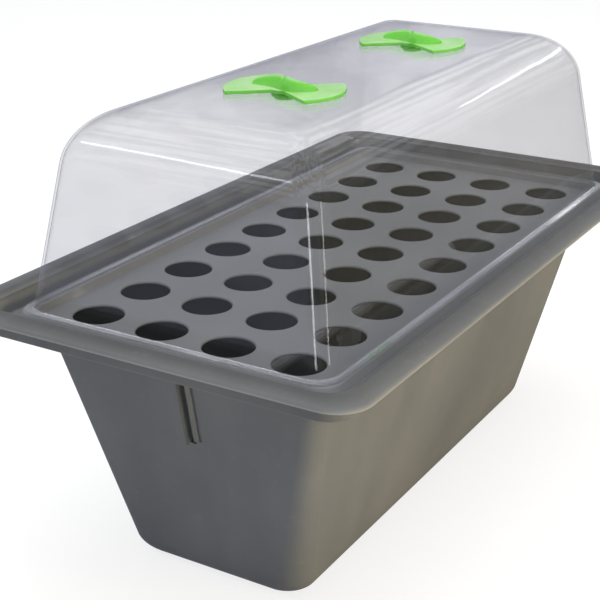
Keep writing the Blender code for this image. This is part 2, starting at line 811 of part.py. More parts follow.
def impeller_outline():
    """A round hub with straight blades."""
    points = []
    half_blade = BLADE_THICKNESS / 2
    hub_angle = math.asin(half_blade / IMPELLER_HUB_RADIUS)
    tip_angle = math.asin(half_blade / IMPELLER_RADIUS)
    step = 2 * math.pi / IMPELLER_BLADES
    for blade in range(IMPELLER_BLADES):
        middle = blade * step
        for radius, angle in (
            (IMPELLER_HUB_RADIUS, middle - hub_angle),
            (IMPELLER_RADIUS, middle - tip_angle),
            (IMPELLER_RADIUS, middle + tip_angle),
            (IMPELLER_HUB_RADIUS, middle + hub_angle),
            (IMPELLER_HUB_RADIUS, middle + step / 2),
        ):
            points.append((radius * math.cos(angle), radius * math.sin(angle)))
    return points


def make_rotor():
    """The magnet and the impeller turn together about a fixed ceramic shaft."""
    axis = add_empty("rotor_axis", (0, 0, ROTOR_HEIGHT), rotation=(-math.pi / 2, 0, 0))
    bore = SHAFT_RADIUS + SLIP
    magnet_start = PUMP_FACE - ROTOR_CLEARANCE
    add_object(
        "rotor_magnet",
        tube("rotor_magnet", ROTOR_RADIUS, bore, magnet_start, magnet_start + ROTOR_LENGTH, ROUND_STEPS),
        rotor_ferrite(), axis,
    )
    impeller_back = magnet_start - TOUCH
    impeller = add_object(
        "pump_impeller",
        prism("pump_impeller", impeller_outline(), impeller_back - IMPELLER_WIDTH, impeller_back),
        grille_grey(), axis,
    )
    hole = turned("impeller_bore", [
        (bore, impeller_back - 2 * IMPELLER_WIDTH),
        (bore, impeller_back + IMPELLER_WIDTH),
    ])
    combine(impeller, cutter("impeller_bore", hole, axis), "DIFFERENCE")


def make_shaft():
    along_y = (-math.pi / 2, 0, 0)
    place = (0, 0, ROTOR_HEIGHT)
    rear_bush_start = PUMP_FACE + ROTOR_LENGTH + 2 * ROTOR_CLEARANCE
    front_bush_end = -CHAMBER_DEPTH / 2 - TOUCH
    front_bush_start = front_bush_end - BUSH_LENGTH
    for name, start in (("shaft_bush_rear", rear_bush_start), ("shaft_bush_front", front_bush_start)):
        add_object(
            name, tube(name, BUSH_RADIUS, SHAFT_RADIUS + SLIP, start, start + BUSH_LENGTH),
            soft_rubber(), location=place, rotation=along_y,
        )
    shaft = turned("impeller_shaft", [
        (SHAFT_RADIUS, front_bush_start), (SHAFT_RADIUS, rear_bush_start + BUSH_LENGTH),
    ], steps=12)
    add_object("impeller_shaft", shaft, shaft_ceramic(), location=place, rotation=along_y)


# ---------------------------------------------------------------- spray manifold


def make_riser():
    low = ROTOR_HEIGHT + CHAMBER_RADIUS + TOUCH
    high = BAR_HEIGHT - TEE_DROP + SOCKET_DEPTH
    inner = SPIGOT_RADIUS + SLIP
    add_object("riser_pipe", tube("riser_pipe", RISER_RADIUS, inner, low, high), pipe_white())


def make_tee():
    along_y = (-math.pi / 2, 0, 0)
    place = (0, 0, BAR_HEIGHT)
    run = turned("manifold_tee", [(SOCKET_RADIUS, -TEE_HALF_LENGTH), (SOCKET_RADIUS, TEE_HALF_LENGTH)])
    tee = add_object("manifold_tee", run, pipe_white(), location=place, rotation=along_y)
    neck = turned("tee_neck", [(RISER_SOCKET_RADIUS, -TEE_DROP), (RISER_SOCKET_RADIUS, 0)])
    combine(tee, cutter("tee_neck", neck, location=place), "UNION")

    water_way = BAR_RADIUS - BAR_WALL
    pipe_seat = BAR_RADIUS + SLIP
    bar_stop = TEE_HALF_LENGTH - SOCKET_DEPTH - TOUCH
    past = TEE_HALF_LENGTH + SOCKET_WALL
    run_bore = turned("tee_run_bore", [
        (pipe_seat, -past), (pipe_seat, -bar_stop), (water_way, -bar_stop),
        (water_way, bar_stop), (pipe_seat, bar_stop), (pipe_seat, past),
    ])
    combine(tee, cutter("tee_run_bore", run_bore, location=place, rotation=along_y), "DIFFERENCE")
    riser_seat = RISER_RADIUS + SLIP
    riser_stop = -TEE_DROP + SOCKET_DEPTH + TOUCH
    neck_bore = turned("tee_neck_bore", [
        (riser_seat, -TEE_DROP - SOCKET_WALL), (riser_seat, riser_stop), (SPIGOT_BORE_RADIUS, riser_stop),
        (SPIGOT_BORE_RADIUS, 0),
    ])
    combine(tee, cutter("tee_neck_bore", neck_bore, location=place), "DIFFERENCE")


def make_spray_bar(place, side):
    """One half of the spray bar with its end cap and its row of nozzles."""
    turn = (-side * math.pi / 2, 0, 0)
    start = TEE_HALF_LENGTH - SOCKET_DEPTH
    cap_end = MOUTH_HALF_Y - BAR_END_MARGIN
    bar_end = cap_end - SOCKET_WALL - TOUCH
    bar = add_object(
        "spray_bar_" + place, tube("spray_bar", BAR_RADIUS, BAR_RADIUS - BAR_WALL, start, bar_end),
        pipe_white(), location=(0, 0, BAR_HEIGHT), rotation=turn,
    )
    seat = BAR_RADIUS + SLIP
    add_object(
        "spray_bar_cap_" + place,
        turned("spray_bar_cap", [
            (seat, cap_end - SOCKET_WALL),
            (seat, cap_end - CAP_LENGTH),
            (SOCKET_RADIUS, cap_end - CAP_LENGTH),
            (SOCKET_RADIUS, cap_end),
        ]),
        pipe_white(), location=(0, 0, BAR_HEIGHT), rotation=turn,
    )
    holes = []
    first = (TEE_HALF_LENGTH + cap_end - CAP_LENGTH) / 2 - (NOZZLES_PER_BAR - 1) * NOZZLE_PITCH / 2
    for index in range(NOZZLES_PER_BAR):
        y = side * (first + index * NOZZLE_PITCH)
        hole_radius = NOZZLE_STEM_RADIUS + SLIP
        hole = turned("nozzle_hole", [(hole_radius, 0), (hole_radius, 2 * BAR_RADIUS)], steps=12)
        hole.transform(Matrix.Translation((0, y, BAR_HEIGHT)))
        holes.append(hole)
        add_nozzle("spray_nozzle_%s_%d" % (place, index + 1), y)
    combine(bar, cutter("nozzle_holes_" + place, merge_meshes("nozzle_holes", holes)), "DIFFERENCE")


def add_nozzle(name, y):
    """A push-in sprayer: stem, flange, slotted waist and domed deflector."""
    crown = BAR_RADIUS + TOUCH
    nozzle = turned("spray_nozzle", [
        (NOZZLE_STEM_RADIUS, crown - NOZZLE_STEM_LENGTH),
        (NOZZLE_STEM_RADIUS, crown),
        (NOZZLE_BODY_RADIUS, crown),
        (NOZZLE_BODY_RADIUS, crown + NOZZLE_COLLAR_HEIGHT),
        (NOZZLE_WAIST_RADIUS, crown + NOZZLE_WAIST_LOW),
        (NOZZLE_WAIST_RADIUS, crown + NOZZLE_WAIST_HIGH),
        (NOZZLE_CROWN_RADIUS, crown + NOZZLE_CROWN_LOW),
        (NOZZLE_WAIST_RADIUS, crown + NOZZLE_HEIGHT),
    ], steps=12)
    add_object(name, nozzle, nozzle_black(), location=(0, y, BAR_HEIGHT))


# ---------------------------------------------------------------- assembly


def build():
    clear_scene()
    make_tank()
    tray_carrier = add_empty("tray_carrier", (0, 0, PLATE_HEIGHT))
    make_tray(tray_carrier)
    dome_carrier = add_empty("dome_carrier", (0, 0, 0), tray_carrier)
    make_dome(dome_carrier)
    make_vent("front", -1, dome_carrier)
    make_vent("rear", 1, dome_carrier)
    make_pump_body()
    make_volute()
    make_rotor()
    make_shaft()
    make_riser()
    make_tee()
    make_spray_bar("front", -1)
    make_spray_bar("rear", 1)


build()
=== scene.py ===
import json
import math

import bmesh
import bpy
from mathutils import Matrix, Vector


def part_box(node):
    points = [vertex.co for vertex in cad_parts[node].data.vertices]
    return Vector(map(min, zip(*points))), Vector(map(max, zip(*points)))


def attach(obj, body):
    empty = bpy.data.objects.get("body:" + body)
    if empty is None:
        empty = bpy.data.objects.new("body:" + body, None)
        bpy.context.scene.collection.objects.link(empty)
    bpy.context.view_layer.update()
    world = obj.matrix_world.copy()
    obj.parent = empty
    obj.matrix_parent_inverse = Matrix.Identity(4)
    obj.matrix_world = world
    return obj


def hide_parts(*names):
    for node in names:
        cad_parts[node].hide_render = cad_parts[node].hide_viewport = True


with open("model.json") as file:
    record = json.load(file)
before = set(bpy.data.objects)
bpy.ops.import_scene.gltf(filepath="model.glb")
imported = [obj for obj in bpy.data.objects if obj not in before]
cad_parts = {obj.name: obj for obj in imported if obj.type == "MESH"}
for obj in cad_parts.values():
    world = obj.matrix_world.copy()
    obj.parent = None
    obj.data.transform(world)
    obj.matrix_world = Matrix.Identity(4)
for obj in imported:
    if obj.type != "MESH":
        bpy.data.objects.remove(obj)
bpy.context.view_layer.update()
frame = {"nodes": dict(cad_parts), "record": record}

# Clear vented dome over a 36 hole planting tray, on a deep tapered water tank with a pump and spray bars.
# Metres, Z up. The cable notch is on the end that faces -Y.

trayLow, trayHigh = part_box("plant_tray")
domeLow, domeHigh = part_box("humidity_dome")


def arcPoints(centre, radius, start, end, steps):
    points = []
    for step in range(steps + 1):
        angle = start + (end - start) * step / steps
        points.append(Vector((centre[0] + radius * math.cos(angle), centre[1] + radius * math.sin(angle))))
    return points


def bendPoints(back, middle, ahead, radius, mostOfSide, steps):
    # a short curve in place of a corner, where back and ahead are its two sides
    turn = math.pi - back.angle(ahead)
    reach = min(radius * math.tan(turn / 2), back.length * mostOfSide, ahead.length * mostOfSide)
    first = middle + back.normalized() * reach
    last = middle + ahead.normalized() * reach
    points = []
    for step in range(steps + 1):
        share = step / steps
        points.append(first * (1 - share) ** 2 + middle * 2 * share * (1 - share) + last * share ** 2)
    return points


def softLine(corners, steps=4, mostOfSide=0.48):
    # corners are (out, up, bend radius)
    points = [Vector(corners[0][:2])]
    for before, corner, after in zip(corners, corners[1:], corners[2:]):
        middle = Vector(corner[:2])
        back = Vector(before[:2]) - middle
        ahead = Vector(after[:2]) - middle
        points += bendPoints(back, middle, ahead, corner[2], mostOfSide, steps)
    points.append(Vector(corners[-1][:2]))
    return points


def offsetLine(points, distance):
    # to the right of travel when distance is positive
    moved = []
    for index, point in enumerate(points):
        normals = []
        for first, second in ((index - 1, index), (index, index + 1)):
            if first >= 0 and second < len(points):
                run = points[second] - points[first]
                normals.append(Vector((run.y, -run.x)).normalized())
        middle = sum(normals, Vector((0, 0))).normalized()
        moved.append(point + middle * distance / middle.dot(normals[0]))
    return moved


def roundedRing(halfX, halfY, radius, height, cornerSteps=12):
    ring = []
    for sideX, sideY, start in ((1, 1, 0), (-1, 1, 90), (-1, -1, 180), (1, -1, 270)):
        for step in range(cornerSteps + 1):
            angle = math.radians(start + 90 * step / cornerSteps)
            ring.append(Vector((
                sideX * (halfX - radius) + radius * math.cos(angle),
                sideY * (halfY - radius) + radius * math.sin(angle),
                height,
            )))
    return ring


def circleRing(radius, height, steps):
    turn = 2 * math.pi / steps
    return [Vector((radius * math.cos(turn * i), radius * math.sin(turn * i), height)) for i in range(steps)]


def skin(shape, rings, closed=False):
    rows = [[shape.verts.new(point) for point in ring] for ring in rings]
    pairs = list(zip(rows, rows[1:]))
    if closed:
        pairs.append((rows[-1], rows[0]))
    count = len(rows[0])
    for lower, upper in pairs:
        for index in range(count):
            following = (index + 1) % count
            shape.faces.new((lower[index], lower[following], upper[following], upper[index]))
    return rows


def finishMesh(name, shape, weld=0.0):
    if weld:
        bmesh.ops.remove_doubles(shape, verts=shape.verts, dist=weld)
    bmesh.ops.recalc_face_normals(shape, faces=shape.faces)
    mesh = bpy.data.meshes.new(name)
    shape.to_mesh(mesh)
    shape.free()
    mesh.shade_smooth()
    return mesh


def loftMesh(name, rings, closed=False):
    shape = bmesh.new()
    rows = skin(shape, rings, closed)
    if not closed:
        shape.faces.new(rows[0])
        shape.faces.new(rows[-1])
    return finishMesh(name, shape)


def addObject(name, mesh):
    item = bpy.data.objects.new(name, mesh)
    bpy.context.scene.collection.objects.link(item)
    return item


def applyBoolean(item, tool, operation):
    modifier = item.modifiers.new(tool.name, "BOOLEAN")
    modifier.operation = operation
    modifier.solver = "EXACT"
    modifier.object = tool
    bpy.context.view_layer.update()
    solved = item.evaluated_get(bpy.context.evaluated_depsgraph_get())
    mesh = bpy.data.meshes.new_from_object(solved)
    item.modifiers.clear()
    item.data = mesh
    bpy.data.objects.remove(tool)


def evenShading(item, sharpAngle=40):
    item.data.shade_smooth()
    item.data.set_sharp_from_angle(angle=math.radians(sharpAngle))
    modifier = item.modifiers.new("evenShading", "WEIGHTED_NORMAL")
    modifier.keep_sharp = True


def finishPiece(item, body, slotName, material, *replaced):
    item.data.materials.clear()
    item.data.materials.append(material)
    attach(item, body)
    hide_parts(*replaced)
    print("made", item.name, "with", len(item.data.polygons), "faces")


def startMaterial(name):
    material = bpy.data.materials.new(name)
    material.use_nodes = True
    return material, material.node_tree, material.node_tree.nodes["Principled BSDF"]


def noiseNode(tree, coordinate, scale, detail=3.0, roughness=0.5, stretch=None):
    noise = tree.nodes.new("ShaderNodeTexNoise")
    noise.inputs["Scale"].default_value = scale
    noise.inputs["Detail"].default_value = detail
    noise.inputs["Roughness"].default_value = roughness
    source = coordinate
    if stretch:
        mapping = tree.nodes.new("ShaderNodeMapping")
        mapping.inputs["Scale"].default_value = stretch
        tree.links.new(coordinate, mapping.inputs["Vector"])
        source = mapping.outputs["Vector"]
    tree.links.new(source, noise.inputs["Vector"])
    return noise.outputs["Fac"]


def rangeNode(tree, value, fromLow, fromHigh, toLow, toHigh):
    node = tree.nodes.new("ShaderNodeMapRange")
    tree.links.new(value, node.inputs["Value"])
    node.inputs["From Min"].default_value = fromLow
    node.inputs["From Max"].default_value = fromHigh
    node.inputs["To Min"].default_value = toLow
    node.inputs["To Max"].default_value = toHigh
    return node.outputs["Result"]


def mathNode(tree, operation, first, second):
    node = tree.nodes.new("ShaderNodeMath")
    node.operation = operation
    for socket, value in zip(node.inputs, (first, second)):
        if isinstance(value, (int, float)):
            socket.default_value = value
        else:
            tree.links.new(value, socket)
    return node.outputs["Value"]


def mixColour(tree, factor, first, second, blend="MIX"):
    node = tree.nodes.new("ShaderNodeMix")
    node.data_type = "RGBA"
    node.blend_type = blend
    for socket, value in ((node.inputs[0], factor), (node.inputs[6], first), (node.inputs[7], second)):
        if isinstance(value, (int, float)):
            socket.default_value = value
        elif isinstance(value, tuple):
            socket.default_value = (*value, 1.0)
        else:
            tree.links.new(value, socket)
    return node.outputs[2]


def bumpNode(tree, height, strength, distance, before=None):
    node = tree.nodes.new("ShaderNodeBump")
    node.inputs["Strength"].default_value = strength
    node.inputs["Distance"].default_value = distance
    tree.links.new(height, node.inputs["Height"])
    if before:
        tree.links.new(before, node.inputs["Normal"])
    return node.outputs["Normal"]


def objectCoordinate(tree):
    return tree.nodes.new("ShaderNodeTexCoord").outputs["Object"]


def axisParts(tree, vector):
    parts = tree.nodes.new("ShaderNodeSeparateXYZ")
    tree.links.new(vector, parts.inputs["Vector"])
    return parts.outputs


def bendTone(tree):
    # above a half on outward bends, below it in creases
    return tree.nodes.new("ShaderNodeNewGeometry").outputs["Pointiness"]


def mixShaders(tree, share, first, second):
    node = tree.nodes.new("ShaderNodeMixShader")
    if isinstance(share, float):
        node.inputs["Fac"].default_value = share
    else:
        tree.links.new(share, node.inputs["Fac"])
    tree.links.new(first, node.inputs[1])
    tree.links.new(second, node.inputs[2])
    return node.outputs["Shader"]


def useSurface(tree, surface):
    tree.links.new(surface, tree.nodes["Material Output"].inputs["Surface"])


# the stretch of a noise, or of the bend tone, over which an effect goes from its low to its high value
span = {
    "cloud": (0.35, 0.65), "middle": (0.3, 0.7), "dust": (0.56, 0.74), "paintedBendHighlight": (0.52, 0.60),
    "film": (0.45, 0.75), "haze": (0.4, 0.8), "speckle": (0.35, 0.7), "rubbedMoulding": (0.52, 0.62),
}
bumpHeight = {                # metres
    "sheetRipple": 0.004, "sheetGrain": 0.0003, "clearRipple": 0.010, "clearDraw": 0.002,
    "flow": 0.002, "mark": 0.0003, "texture": 0.0004,
}
mirrorPower = 5.0             # how late the clear sheet's mirror comes in at a glancing angle


def formedSheet(name, look):
    # vacuum formed sheet: cloudy colour, drawn streaks, dust, painted highlights on outward bends, painted
    # light and shade by height, fine grain over slow ripples
    material, tree, shader = startMaterial(name)
    place = objectCoordinate(tree)
    clouds = noiseNode(tree, place, look["cloudScale"], detail=4.0, roughness=0.55)
    streaks = noiseNode(tree, place, look["streakScale"], stretch=look["streakStretch"])
    cloudShare = rangeNode(tree, clouds, *span["cloud"], 0.0, 1.0)
    colour = mixColour(tree, cloudShare, look["dark"], look["light"])
    shade = rangeNode(tree, streaks, *span["middle"], 1 - look["streakDepth"], 1 + look["streakDepth"])
    # painted light and shade: the colour is scaled by height, from lowTone to highTone
    height = axisParts(tree, place)["Z"]
    levels = (look["lowLevel"], look["highLevel"], look["lowTone"], look["highTone"])
    shade = mathNode(tree, "MULTIPLY", shade, rangeNode(tree, height, *levels))
    shadeColour = tree.nodes.new("ShaderNodeCombineColor")
    for socket in shadeColour.inputs[:3]:
        tree.links.new(shade, socket)
    colour = mixColour(tree, 1.0, colour, shadeColour.outputs["Color"], "MULTIPLY")
    dust = noiseNode(tree, place, look["dustScale"], detail=6.0, roughness=0.7)
    dustShare = rangeNode(tree, dust, *span["dust"], 0.0, look["dustAmount"])
    colour = mixColour(tree, dustShare, colour, look["dustColour"])
    # painted highlight: outward bends are painted paler, for light caught on the bank and ridge
    wearAndBendHighlight = rangeNode(tree, bendTone(tree), *span["paintedBendHighlight"], 0.0, look["edgeAmount"])
    colour = mixColour(tree, wearAndBendHighlight, colour, look["bendHighlightColour"])
    tree.links.new(colour, shader.inputs["Base Color"])

    smears = noiseNode(tree, place, look["smearScale"], detail=4.0, roughness=0.6)
    gloss = rangeNode(tree, smears, *span["middle"], look["roughnessLow"], look["roughnessHigh"])
    tree.links.new(gloss, shader.inputs["Roughness"])
    shader.inputs["Specular IOR Level"].default_value = look["specular"]

    ripple = noiseNode(tree, place, look["rippleScale"], detail=1.0, roughness=0.4)
    grain = noiseNode(tree, place, look["grainScale"], detail=2.0)
    normal = bumpNode(tree, ripple, look["rippleStrength"], bumpHeight["sheetRipple"])
    normal = bumpNode(tree, grain, look["grainStrength"], bumpHeight["sheetGrain"], normal)
    tree.links.new(normal, shader.inputs["Normal"])
    return material


def clearSheet(name, look):
    # thin clear sheet: faint tint, patchy film, a mirror that grows at a glancing angle, a bright foot that
    # is a painted highlight
    material, tree, shader = startMaterial(name)
    place = objectCoordinate(tree)
    stretch = look["rippleStretch"]
    ripple = noiseNode(tree, place, look["rippleScale"], detail=1.5, roughness=0.45, stretch=stretch)
    draw = noiseNode(tree, place, look["drawScale"], detail=2.0)
    normal = bumpNode(tree, ripple, look["rippleStrength"], bumpHeight["clearRipple"])
    normal = bumpNode(tree, draw, look["drawStrength"], bumpHeight["clearDraw"], normal)

    facing = tree.nodes.new("ShaderNodeLayerWeight")
    facing.inputs["Blend"].default_value = 0.5
    tree.links.new(normal, facing.inputs["Normal"])
    glance = mathNode(tree, "POWER", facing.outputs["Facing"], mirrorPower)
    mirror = rangeNode(tree, glance, 0.0, 1.0, look["mirrorFront"], look["mirrorGlancing"])
    film = noiseNode(tree, place, look["filmScale"], detail=5.0, roughness=0.65)
    filmShare = rangeNode(tree, film, *span["film"], 0.0, look["filmAmount"])
    height = axisParts(tree, place)["Z"]
    # painted highlight: a stronger mirror in a thin band at the foot, for a bright line along the base
    foot = rangeNode(tree, height, look["footLow"], look["footHigh"], look["footShare"], 0.0)
    share = mathNode(tree, "ADD", mathNode(tree, "ADD", mirror, filmShare), foot)

    shader.inputs["Base Color"].default_value = (*look["mirrorColour"], 1.0)
    shader.inputs["Metallic"].default_value = look["mirrorMetal"]
    gloss = rangeNode(tree, film, *span["haze"], look["roughnessLow"], look["roughnessHigh"])
    tree.links.new(gloss, shader.inputs["Roughness"])
    tree.links.new(normal, shader.inputs["Normal"])

    through = tree.nodes.new("ShaderNodeBsdfTransparent")
    through.inputs["Color"].default_value = (*look["tint"], 1.0)
    useSurface(tree, mixShaders(tree, share, through.outputs["BSDF"], shader.outputs["BSDF"]))
    return material


def tintedPlastic(name, look):
    # coloured see-through moulding: pale flat tops and deeper slopes and edges, painted light and shade by
    # facing, a glow where light comes through
    material, tree, shader = startMaterial(name)
    place = objectCoordinate(tree)
    flow = noiseNode(tree, place, look["flowScale"])
    # painted light and shade: body and glow colours are pale where the surface faces up, deep on slopes
    upward = axisParts(tree, tree.nodes.new("ShaderNodeTexCoord").outputs["Normal"])["Z"]
    slope = rangeNode(tree, upward, look["flatFrom"], look["slopeFrom"], 0.0, 1.0)
    flat = mixColour(tree, rangeNode(tree, flow, *span["middle"], 0.0, 1.0), look["bright"], look["pale"])
    colour = mixColour(tree, slope, flat, look["deep"])
    glowColour = mixColour(tree, slope, look["glowPale"], look["glowDeep"])
    tree.links.new(colour, shader.inputs["Base Color"])
    marks = noiseNode(tree, place, look["markScale"], detail=4.0, roughness=0.6)
    gloss = rangeNode(tree, marks, *span["middle"], look["roughnessLow"], look["roughnessHigh"])
    tree.links.new(gloss, shader.inputs["Roughness"])
    shader.inputs["Coat Weight"].default_value = look["coat"]
    shader.inputs["Coat Roughness"].default_value = look["coatRoughness"]
    normal = bumpNode(tree, flow, look["flowStrength"], bumpHeight["flow"])
    normal = bumpNode(tree, marks, look["markStrength"], bumpHeight["mark"], normal)
    tree.links.new(normal, shader.inputs["Normal"])

    glow = tree.nodes.new("ShaderNodeBsdfTranslucent")
    tree.links.new(glowColour, glow.inputs["Color"])
    tree.links.new(normal, glow.inputs["Normal"])
    solid = mixShaders(tree, look["glowShare"], shader.outputs["BSDF"], glow.outputs["BSDF"])
    through = tree.nodes.new("ShaderNodeBsdfTransparent")
    through.inputs["Color"].default_value = (*look["throughColour"], 1.0)
    useSurface(tree, mixShaders(tree, look["throughShare"], solid, through.outputs["BSDF"]))
    return material


def mouldedFinish(name, look):
    # small mouldings and turned pieces: speckle, worn edges, fine texture
    material, tree, shader = startMaterial(name)
    place = objectCoordinate(tree)
    speckle = noiseNode(tree, place, look["speckleScale"], detail=4.0, roughness=0.6)
    speckleShare = rangeNode(tree, speckle, *span["speckle"], 0.0, 1.0)
    colour = mixColour(tree, speckleShare, look["dark"], look["light"])
    wearAndBendHighlight = rangeNode(tree, bendTone(tree), *span["rubbedMoulding"], 0.0, look["edgeAmount"])
    colour = mixColour(tree, wearAndBendHighlight, colour, look["edge"])
    tree.links.new(colour, shader.inputs["Base Color"])
    smears = noiseNode(tree, place, look["smearScale"])
    gloss = rangeNode(tree, smears, *span["middle"], look["roughnessLow"], look["roughnessHigh"])
    tree.links.new(gloss, shader.inputs["Roughness"])
    texture = noiseNode(tree, place, look["textureScale"], roughness=0.6)
    normal = bumpNode(tree, texture, look["textureStrength"], bumpHeight["texture"])
    tree.links.new(normal, shader.inputs["Normal"])
    return material


tank = {
    "draft": 0.21,            # how far the wall leans out for each metre up
    "wall": 0.0025,
    "footFillet": 0.020,
    "footStrip": 0.010,       # flat ring of bottom inside the fillet
    "footSteps": 12,
    "mouthCorner": 0.012,
    "footCorner": 0.022,
    "rimCorner": 0.027,
    "bendRadius": 0.0022,
    "riserGap": 0.0006,
    "flangeDrop": 0.0010,
    "skirtGap": 0.0060,
    "touch": 0.0003,          # left open between sheets that rest on each other
    "floorFacing": 0.5,       # a low face whose normal rises more than this is part of the floor
}

tray = {
    "sheet": 0.0020,
    "pitch": 0.060,
    "columns": 4,
    "rows": 9,
    "bore": 0.040,
    "boreEdge": 0.0014,       # how far the hole's rolled edge reaches over the plate
    "boreAngles": (0.5, 1.0, 1.57),             # marks round the rolled edge, in radians
    "boreChamfer": 0.1,       # share of the sheet that is cut back under the hole
    "sag": 0.0013,            # how far the plate hangs in its middle
    "bankFoot": (0.0010, 0.0000, 0.0014),       # out from the mouth line, above the plate, bend radius
    "bankInner": (0.0040, 0.0064, 0.0014),
    "bankOuter": (0.0125, 0.0064, 0.0012),
    "gutterInner": (0.0185, -0.0020, 0.0014),
    "gutterOuter": (0.0265, -0.0020, 0.0018),
    "lip": (0.0285, 0.0125, 0.0014),
    "ridge": (0.0336, 0.0160, 0.0042),
    "flange": (0.0497, 0.0128, 0.0040),
    "skirt": (0.0510, 0.0106, 0.0),
    "cellSteps": 10,          # mesh steps along each side of a cell
    "endStepsLong": 8,        # between the last cell line and the corner, on the long sides
    "endStepsShort": 9,
    "cornerSteps": 8,
}

tankSheet = {
    "lowLevel": 0.0, "highLevel": 0.2, "lowTone": 0.97, "highTone": 1.03,       # tone by height, painted light and shade: lighter towards the top
    "dark": (0.082, 0.087, 0.093), "light": (0.102, 0.107, 0.112), "cloudScale": 7.0,
    "streakScale": 26.0, "streakStretch": (1.0, 1.0, 0.12), "streakDepth": 0.05,
    "dustScale": 130.0, "dustAmount": 0.10, "dustColour": (0.24, 0.24, 0.23),
    "edgeAmount": 0.0, "bendHighlightColour": (0.16, 0.17, 0.18),
    "smearScale": 14.0, "roughnessLow": 0.42, "roughnessHigh": 0.52, "specular": 0.5,
    "rippleScale": 16.0, "rippleStrength": 0.16, "grainScale": 1500.0, "grainStrength": 0.22,
}

# the same sheet, painted near black inside the tank as shade, with a faint painted highlight on its bends
tankInside = {**tankSheet, "dark": (0.010, 0.015, 0.014), "light": (0.016, 0.023, 0.021), "edgeAmount": 0.05}

notch = {
    "below": 0.0120,          # plate to the notch's top
    "length": 0.0705,
    "rampWidth": 0.0185,
    "rampRise": 0.0054,
    "grooveWidth": 0.0056,
    "grooveDepth": 0.0034,
    "ribWidth": 0.0030,
    "ribRise": 0.0026,
    "secondWidth": 0.0030,
    "secondDepth": 0.0013,
    "offset": 0.0018,
    "softEdge": 0.0005,
    "softSteps": 3,
}

plateHeight = trayHigh.z - tray["ridge"][1]
mouthX = trayHigh.x - tray["skirt"][0]
mouthY = trayHigh.y - tray["skirt"][0]


def planCorner(out):
    # plan corner radius at a distance out from the mouth line
    if out < 0:
        share = min(1.0, out / (-tank["draft"] * plateHeight))
        return tank["mouthCorner"] + (tank["footCorner"] - tank["mouthCorner"]) * share
    return tank["mouthCorner"] + (tank["rimCorner"] - tank["mouthCorner"]) * out / tray["skirt"][0]


def tankLine():
    draft, wall, fillet = tank["draft"], tank["wall"], tank["footFillet"]
    lean = math.atan(draft)
    reach = fillet * math.tan((math.pi / 2 - lean) / 2)
    centre = (-draft * plateHeight - reach, fillet)
    ledge = plateHeight + tray["gutterOuter"][1] - tray["sheet"] - tank["touch"] - wall
    riser = tray["lip"][0] + tray["sheet"] + tank["riserGap"] + wall
    flange = plateHeight + tray["lip"][1] - tray["sheet"] - tank["flangeDrop"] - wall
    edge = tray["skirt"][0] - tray["sheet"] - tank["skirtGap"]
    bend = tank["bendRadius"]
    line = [Vector((centre[0] - tank["footStrip"], 0))]
    line += arcPoints(centre, fillet, -math.pi / 2, -lean, tank["footSteps"])
    wallTop = (-draft * (plateHeight - ledge), ledge, bend)
    rim = [(riser, ledge, bend), (riser, flange, bend), (edge, flange, 0)]
    return line + softLine([(*line[-1], 0), wallTop, *rim])[1:]


def notchPrism(name, outline, low, high, wallFrame):
    mesh = loftMesh(name, [[Vector((x, y, z)) for x, y in outline] for z in (low, high)])
    item = addObject(name, mesh)
    item.matrix_world = wallFrame
    bevel = item.modifiers.new("softEdge", "BEVEL")
    bevel.width = notch["softEdge"]
    bevel.segments = notch["softSteps"]
    bevel.limit_method = "ANGLE"
    return item


def cutNotch(item):
    # outlines lie across the wall: x along it, y into it, and the prism runs down it
    wall = tank["wall"]
    lap = wall / 8            # overlap, so that no two faces lie in one plane
    groove, deep = notch["grooveWidth"], notch["grooveDepth"]
    ribEnd = groove + notch["ribWidth"]
    secondEnd = ribEnd + notch["secondWidth"]
    rise, length = notch["rampRise"], notch["length"]
    clear = -2 * rise         # well outside the wall
    foot = notch["ribWidth"] - length
    wallY = -(mouthY - tank["draft"] * notch["below"])
    place = Matrix.Translation((notch["offset"], wallY, plateHeight - notch["below"]))
    place = place @ Matrix.Rotation(math.atan(tank["draft"]), 4, "X")
    ramp = [(-notch["rampWidth"], wall / 2), (-notch["rampWidth"], lap), (lap, -rise), (lap, wall / 2)]
    rib = [(groove - lap, wall / 2), (groove - lap, -notch["ribRise"]), (ribEnd, lap), (ribEnd, wall / 2)]
    back = [(-wall, wall / 3), (ribEnd + wall, wall / 3), (ribEnd + wall, deep + wall), (-wall, deep + wall)]
    slot = [(0, clear), (groove, clear), (groove, deep), (0, deep)]
    second = [(ribEnd, clear), (secondEnd, clear), (secondEnd, 0), (ribEnd, notch["secondDepth"])]
    for name, outline, low, high, operation in (
        ("notchRamp", ramp, -length, 0, "UNION"),
        ("notchRib", rib, foot, -lap, "UNION"),
        ("notchBack", back, -length - wall, wall, "UNION"),
        ("notchSlot", slot, -length - lap, wall / 2, "DIFFERENCE"),
        ("notchSecond", second, foot, -lap, "DIFFERENCE"),
    ):
        applyBoolean(item, notchPrism(name, outline, low, high, place), operation)


def makeTank():
    outer = tankLine()
    inner = offsetLine(outer, -tank["wall"])
    rings = []
    for point in outer + inner[::-1]:
        rings.append(roundedRing(mouthX + point.x, mouthY + point.x, planCorner(point.x), point.y))
    item = addObject("waterTank", loftMesh("waterTank", rings))
    cutNotch(item)
    evenShading(item)
    finishPiece(item, "tank", "tank_plastic", formedSheet("tankSheet", tankSheet), "reservoir_tank")
    item.data.materials.append(formedSheet("tankInside", tankInside))
    # painted shade: faces turned inward below the plate, and the inside floor, take the dark inside sheet
    for face in item.data.polygons:
        facesIn = face.normal.xy.dot(face.center.xy) < 0 and face.center.z < plateHeight
        onFloor = face.normal.z > tank["floorFacing"] and face.center.z < tank["footFillet"]
        face.material_index = 1 if facesIn or onFloor else 0


makeTank()
